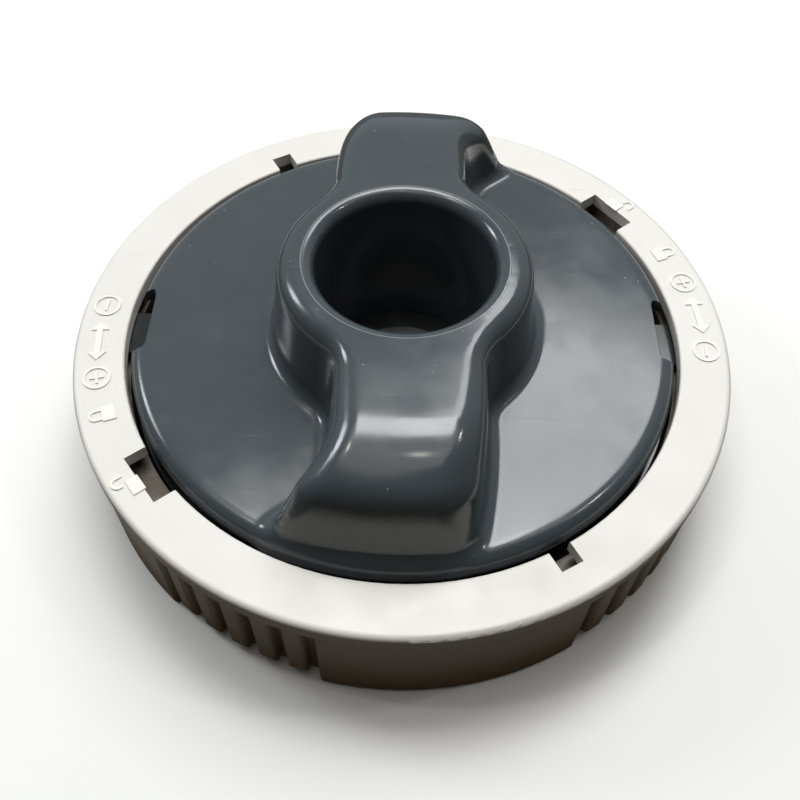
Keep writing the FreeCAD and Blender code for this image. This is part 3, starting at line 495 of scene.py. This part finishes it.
points = mesh_points(cap_skin.data) / MM
reach = np.hypot(points[:, 0], points[:, 1])
rim = (reach < RIM_REACH) & (points[:, 2] > RIM_LEVEL)
points[rim, :2] *= (RIM_RADIUS / reach[rim])[:, None]
normals = mesh_points(cap_skin.data, "normal")
slope = cap_slope(points)
steepness = np.linalg.norm(slope, axis=1)
facing = (normals * slope).sum(axis=1) / steepness
near = np.where(points[:, 2] > DISC_TOP - 1.0, NEAR_HANDLE, NEAR_DISC)
outside = (np.abs(cap_form(points)) < near) & (facing > FACING) & (steepness > 0.3)
moved = points[outside]
for _ in range(6):
    slope = cap_slope(moved)
    moved = moved - slope * (cap_form(moved) / (slope ** 2).sum(axis=1))[:, None]
points[outside] = moved
cap_skin.data.vertices.foreach_set("co", (points * MM).ravel())
cap_skin.data.update()
print("skin: %d of %d points on the form, worst %.4f mm off"
      % (outside.sum(), len(points), np.abs(cap_form(moved)).max()))

# %% [markdown]
# The cutters are a round bar for the tube's hole and two blocks for the notches, whose
# corners are rounded by 0.8 mm as a moulding's are. They are deleted after their cuts. The
# skin laps 0.3 mm over the rim of the tube's mouth, so that no dark gap shows there.

# %% Hole and pointer notches
TUBE_HOLE, HOLE_LOW, HOLE_HIGH = 23.6, 52.0, 60.0
NOTCH_ROOT, NOTCH_WIDTH, NOTCH_LENGTH, POINTER_TURN = 62.3, 18.8, 8.0, 0.6
NOTCH_LOW, NOTCH_TALL, NOTCH_CORNER = 3.0, 12.0, 0.8


def cutter_bar(radius, low, high, steps=192):
    work = bmesh.new()
    bmesh.ops.create_cone(work, cap_ends=True, segments=steps, radius1=radius * MM,
                          radius2=radius * MM, depth=(high - low) * MM,
                          matrix=Matrix.Translation((0, 0, (low + high) / 2 * MM)))
    mesh = bpy.data.meshes.new("cutter")
    work.to_mesh(mesh)
    work.free()
    return new_object("cutter", mesh)


def notch_cutter(turn):
    work = bmesh.new()
    bmesh.ops.create_cube(work, size=1.0)
    for vertex in work.verts:
        vertex.co.x = NOTCH_ROOT + (0.5 + vertex.co.x) * NOTCH_LENGTH
        vertex.co.y = vertex.co.y * NOTCH_WIDTH
        vertex.co.z = DISC_TOP - NOTCH_LOW + vertex.co.z * NOTCH_TALL
    bmesh.ops.scale(work, vec=(MM, MM, MM), verts=work.verts)
    bmesh.ops.rotate(work, cent=(0, 0, 0), verts=work.verts,
                     matrix=Matrix.Rotation(math.radians(turn), 3, "Z"))
    upright = [edge for edge in work.edges
               if abs(edge.verts[0].co.z - edge.verts[1].co.z) > MM]
    bmesh.ops.bevel(work, geom=upright, offset=NOTCH_CORNER * MM, segments=4,
                    affect="EDGES", profile=0.5)
    mesh = bpy.data.meshes.new("cutter")
    work.to_mesh(mesh)
    work.free()
    return new_object("cutter", mesh)


def cut_away(piece, cutter):
    knife = piece.modifiers.new("cut", "BOOLEAN")
    knife.operation = "DIFFERENCE"
    knife.solver = "EXACT"
    knife.object = cutter
    baked(piece)
    bpy.data.objects.remove(cutter)


def smooth_by_angle(piece, limit):
    piece.data.shade_smooth()
    piece.data.set_sharp_from_angle(angle=math.radians(limit))


cut_away(cap_skin, cutter_bar(TUBE_HOLE, HOLE_LOW, HOLE_HIGH))
for half_turn in (0.0, 180.0):
    cut_away(cap_skin, notch_cutter(POINTER_TURN + half_turn))
smooth_by_angle(cap_skin, 40.0)
cap_skin.data.materials.clear()
cap_skin.data.materials.append(slate_abs)
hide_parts("dial_cap")
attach(cap_skin, "dial")
print("skin: %d faces" % len(cap_skin.data.polygons))

# %% [markdown]
# Signs on the flange tell how far the dial is turned: less, more, and the two states of the
# lock. They are raised by a third of a millimetre in the collar's own plastic. Each sign is
# one or more closed outlines in a small square, whose first direction runs round the collar
# and whose second points outwards. An outline inside another makes a hole in it.


# %% Outlines of the signs
def arc(radius, centre=(0.0, 0.0), start=0.0, turn=360.0, steps=32):
    angles = [math.radians(start + turn * i / steps) for i in range(steps + 1)]
    return [(centre[0] + radius * math.cos(a), centre[1] + radius * math.sin(a)) for a in angles]


def circle_outlines(radius, line):
    return [arc(radius)[:-1], arc(radius - line)[:-1]]


def cross_outline(reach, line):
    """A plus: the corners of its four arms."""
    half = line / 2
    quarter = [(half, half), (half, reach), (-half, reach)]
    corners = []
    for turn in range(4):
        a = math.radians(90 * turn)
        corners += [(x * math.cos(a) - y * math.sin(a), x * math.sin(a) + y * math.cos(a))
                    for x, y in quarter]
    return corners


def box_outline(wide, low, high):
    return [(-wide / 2, low), (wide / 2, low), (wide / 2, high), (-wide / 2, high)]


def double_arrow(half, head, wide, line):
    side = [(half - head, line / 2), (half - head, wide / 2), (half, 0.0)]
    side += [(x, -y) for x, y in reversed(side[:-1])]
    return side + [(-x, -y) for x, y in side]


def lock_outlines(swing):
    """A padlock with its body to the inside; an open one has its bow swung aside."""
    line, radius, top = 0.55, 1.55, 1.5
    left_foot, right_foot = (0.0, 0.9) if swing else (0.0, 0.0)
    bow = [(-radius, left_foot)] + arc(radius, (0.0, top), 180.0, -180.0, 16)
    bow += [(radius, right_foot), (radius - line, right_foot)]
    bow += arc(radius - line, (0.0, top), 0.0, 180.0, 16) + [(line - radius, left_foot)]
    return [box_outline(4.2, -3.0, 0.0), [(x - swing, y) for x, y in bow]]


SIGN_RADIUS = 74.2
CIRCLE, LINE, BAR = 3.3, 0.55, 1.7
SIGNS = [
    (-3.4, SIGN_RADIUS, circle_outlines(CIRCLE, LINE) + [
        [(y, x) for x, y in box_outline(LINE, -BAR, BAR)][::-1]]),
    (5.5, SIGN_RADIUS, [double_arrow(5.8, 2.3, 4.4, 1.5)]),
    (14.2, SIGN_RADIUS, circle_outlines(CIRCLE, LINE) + [cross_outline(BAR, LINE)]),
    (22.7, SIGN_RADIUS, lock_outlines(0.0)),
    (39.3, SIGN_RADIUS + 1.2, lock_outlines(2.6)),
]
print("%d signs on each side" % len(SIGNS))


def sign_curves(name):
    curve = bpy.data.curves.new(name, "CURVE")
    curve.dimensions = "3D"
    for angle, radius, outlines in SIGNS:
        turn = math.radians(angle)
        outward = Vector((math.cos(turn), math.sin(turn), 0))
        around = Vector((-math.sin(turn), math.cos(turn), 0))
        for outline in outlines:
            spline = curve.splines.new("POLY")
            spline.points.add(len(outline) - 1)
            spline.use_cyclic_u = True
            for point, (along, out) in zip(spline.points, outline):
                place = outward * (radius + out) + around * along
                point.co = (place.x * MM, place.y * MM, 0.0, 1.0)
    return curve


# %% [markdown]
# Geometry Nodes fill the outlines, raise them with upright sides, close them underneath and
# repeat the set on the other side of the collar. So the relief, the height and the number
# of sets stay values that can be changed in one place.


# %% Geometry Nodes that raise outlines
def new_tree(name, sizes, counts=()):
    """An empty tree with named inputs: lengths, then whole numbers, then a finish."""
    tree = bpy.data.node_groups.new(name, "GeometryNodeTree")
    face = tree.interface
    face.new_socket("Geometry", in_out="INPUT", socket_type="NodeSocketGeometry")
    for label in sizes:
        face.new_socket(label, in_out="INPUT", socket_type="NodeSocketFloat")
    for label in counts:
        face.new_socket(label, in_out="INPUT", socket_type="NodeSocketInt")
    face.new_socket("Finish", in_out="INPUT", socket_type="NodeSocketMaterial")
    face.new_socket("Geometry", in_out="OUTPUT", socket_type="NodeSocketGeometry")
    return tree, add_node(tree, "NodeGroupInput").outputs


def finish_tree(tree, geometry, finish):
    real = add_node(tree, "GeometryNodeRealizeInstances", {"Geometry": geometry})
    painted = add_node(tree, "GeometryNodeSetMaterial",
                       {"Geometry": real.outputs["Geometry"], "Material": finish})
    add_node(tree, "NodeGroupOutput", {"Geometry": painted.outputs["Geometry"]})
    return tree


def relief_tree(name):
    tree, given = new_tree(name, ("Height", "Relief"), ("Copies",))
    filled = add_node(tree, "GeometryNodeFillCurve", {"Curve": given["Geometry"]}, mode="NGONS")
    up = add_node(tree, "ShaderNodeCombineXYZ", {"Z": given["Relief"]}).outputs["Vector"]
    raised = add_node(tree, "GeometryNodeExtrudeMesh",
                      {"Mesh": filled.outputs["Mesh"], "Offset": up, "Offset Scale": 1.0,
                       "Individual": False})
    under = add_node(tree, "GeometryNodeFlipFaces", {"Mesh": filled.outputs["Mesh"]})
    whole = add_node(tree, "GeometryNodeJoinGeometry")
    tree.links.new(raised.outputs["Mesh"], whole.inputs["Geometry"])
    tree.links.new(under.outputs["Mesh"], whole.inputs["Geometry"])
    closed = add_node(tree, "GeometryNodeMergeByDistance",
                      {"Geometry": whole.outputs["Geometry"], "Distance": 0.001 * MM})
    lift = add_node(tree, "ShaderNodeCombineXYZ", {"Z": given["Height"]}).outputs["Vector"]
    lifted = add_node(tree, "GeometryNodeSetPosition",
                      {"Geometry": closed.outputs["Geometry"], "Offset": lift})
    places = add_node(tree, "GeometryNodePoints", {"Count": given["Copies"]})
    number = add_node(tree, "GeometryNodeInputIndex").outputs["Index"]
    share = calculated(tree, "DIVIDE", number, given["Copies"])
    angle = calculated(tree, "MULTIPLY", share, 2 * math.pi)
    turn = add_node(tree, "ShaderNodeCombineXYZ", {"Z": angle}).outputs["Vector"]
    spread = add_node(tree, "GeometryNodeInstanceOnPoints",
                      {"Points": places.outputs["Points"], "Instance": lifted.outputs["Geometry"],
                       "Rotation": turn})
    return finish_tree(tree, spread.outputs["Instances"], given["Finish"])


def run_tree(piece, tree, **sizes):
    """Runs a tree on a piece, with its inputs set by their identifiers, and keeps the mesh."""
    modifier = piece.modifiers.new(tree.name, "NODES")
    modifier.node_group = tree
    for item in tree.interface.items_tree:
        label = item.name.replace(" ", "_")
        if item.in_out == "INPUT" and label in sizes:
            modifier[item.identifier] = sizes[label]
    bpy.context.view_layer.update()
    shape = piece.evaluated_get(bpy.context.evaluated_depsgraph_get())
    mesh = bpy.data.meshes.new_from_object(shape)
    name = piece.name
    bpy.data.objects.remove(piece)
    return new_object(name, mesh)


FLANGE_LEVEL, SUNK, RELIEF = 32.0, 0.05, 0.38
outlines = new_object("flange_signs", sign_curves("sign_outlines"))
signs = run_tree(outlines, relief_tree("raised_outlines"), Height=(FLANGE_LEVEL - SUNK) * MM,
                 Relief=RELIEF * MM, Copies=2, Finish=rubbed_pp)
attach(signs, "collar")
print("signs: %d faces" % len(signs.data.polygons))

# %% [markdown]
# The collar screws onto its housing by a thread inside the skirt, out of sight from above.
# It is a helix, so one curve and a round bead, half sunk in the wall, make it.

# %% Thread inside the skirt
THREAD_WALL, THREAD_FOOT, THREAD_PITCH, THREAD_RIDGE = 74.0, 4.0, 4.2, 0.9
THREAD_TURNS, THREAD_STEPS, BEAD_SIDES = 2.5, 72, 8


def thread_tree(name):
    """A helix with a round ridge along it."""
    tree, given = new_tree(name, ("Radius", "Foot", "Pitch", "Turns", "Ridge"))
    height = calculated(tree, "MULTIPLY", given["Pitch"], given["Turns"])
    helix = add_node(tree, "GeometryNodeCurveSpiral",
                     {"Resolution": THREAD_STEPS, "Rotations": given["Turns"],
                      "Start Radius": given["Radius"], "End Radius": given["Radius"],
                      "Height": height})
    lift = add_node(tree, "ShaderNodeCombineXYZ", {"Z": given["Foot"]})
    raised = add_node(tree, "GeometryNodeSetPosition",
                      {"Geometry": helix.outputs["Curve"], "Offset": lift.outputs["Vector"]})
    profile = add_node(tree, "GeometryNodeCurvePrimitiveCircle",
                       {"Resolution": BEAD_SIDES, "Radius": given["Ridge"]})
    ridge = add_node(tree, "GeometryNodeCurveToMesh",
                     {"Curve": raised.outputs["Geometry"], "Profile Curve": profile.outputs["Curve"],
                      "Fill Caps": True})
    return finish_tree(tree, ridge.outputs["Mesh"], given["Finish"])


blank = new_object("housing_thread", bpy.data.meshes.new("blank"))
thread = run_tree(blank, thread_tree("inner_thread"), Radius=THREAD_WALL * MM,
                  Foot=THREAD_FOOT * MM, Pitch=THREAD_PITCH * MM, Turns=THREAD_TURNS,
                  Ridge=THREAD_RIDGE * MM, Finish=ivory_pp)
smooth_by_angle(thread, 60.0)
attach(thread, "collar")
print("thread: %d faces" % len(thread.data.polygons))

# %% [markdown]
# A plain floor carries the object. It is pale to the camera only. To all else it is dark,
# so that the collar's skirt and the noses of the wings stay in shade, as they do over a
# dark table.


# %% Floor
FLOOR_SIZE, FLOOR_LEVEL = 6.0, -0.2


def make_floor(size, height):
    mesh = bpy.data.meshes.new("floor")
    half = size / 2
    corners = [(-half, -half), (half, -half), (half, half), (-half, half)]
    mesh.from_pydata([(x, y, height) for x, y in corners], [], [(0, 1, 2, 3)])
    paint, tree, shader, place = start_material("matt_pale_floor")
    rays = add_node(tree, "ShaderNodeLightPath")
    seen = calculated(tree, "MAXIMUM", rays.outputs["Is Camera Ray"],
                      rays.outputs["Is Transmission Ray"])
    tree.links.new(mixed(tree, seen, "#4c463c", "#eeeeec"), shader.inputs["Base Color"])
    shader.inputs["Roughness"].default_value = 0.85
    shader.inputs["Specular IOR Level"].default_value = 0.2
    return new_object("floor", mesh, paint)


make_floor(FLOOR_SIZE, FLOOR_LEVEL * MM)
print("floor %.1f mm under the foot of the skirt" % -FLOOR_LEVEL)

# %% [markdown]
# Light comes from two soft boxes overhead and from a window behind and to the right. The
# soft boxes light every level face and leave upright faces in shade. The smaller one stands
# further back, where the bend of the front wing mirrors it. The window stands where the
# disc mirrors it to the camera, so it shows as a bright patch right of the front wing. A
# narrow box on the left and three small ceiling lamps give the glints on rounded edges.


# %% Light
AIM = Vector((0, 0, 0.03))


def area_light(name, place, wide, deep, power, tint):
    lamp = bpy.data.objects.new(name, bpy.data.lights.new(name, "AREA"))
    lamp.data.shape = "RECTANGLE"
    lamp.data.size = wide
    lamp.data.size_y = deep
    lamp.data.energy = power
    lamp.data.color = colour(tint)[:3]
    lamp.location = place
    lamp.rotation_euler = (AIM - Vector(place)).to_track_quat("-Z", "Y").to_euler()
    scene.collection.objects.link(lamp)


area_light("overhead_wide", (-0.05, 0.05, 0.9), 0.8, 0.7, 2.4, "#fdfdfc")
area_light("overhead_core", (0.0, 0.24, 0.88), 0.42, 0.26, 3.7, "#fdfdfc")
area_light("window", (0.2, 0.43, 0.72), 0.26, 0.26, 1.6, "#fbfdff")
area_light("left_box", (-0.6, 0.25, 0.5), 0.14, 0.2, 1.3, "#f6faff")
for name, place, power in (("lamp_left", (-0.3, 0.0, 0.85), 0.4),
                           ("lamp_middle", (0.05, -0.12, 0.9), 0.08),
                           ("lamp_right", (0.5, 0.05, 0.75), 0.4)):
    area_light(name, place, 0.03, 0.03, power, "#fffaf0")

# %% [markdown]
# The world is brighter behind than in front, which the disc mirrors as well.

# %% World
world = bpy.data.worlds.new("studio")
world.use_nodes = True
sky = world.node_tree
direction = add_node(sky, "ShaderNodeTexCoord").outputs["Generated"]
split = add_node(sky, "ShaderNodeSeparateXYZ", {"Vector": direction})
behind = ramp(sky, split.outputs["Y"], -0.3, 0.75)
shade = mixed(sky, behind, "#3f3c37", "#e4e8ea")
backdrop = sky.nodes["Background"]
sky.links.new(shade, backdrop.inputs["Color"])
backdrop.inputs["Strength"].default_value = 0.6
scene.world = world
scene.view_settings.view_transform = "Standard"
print("world", world.name)
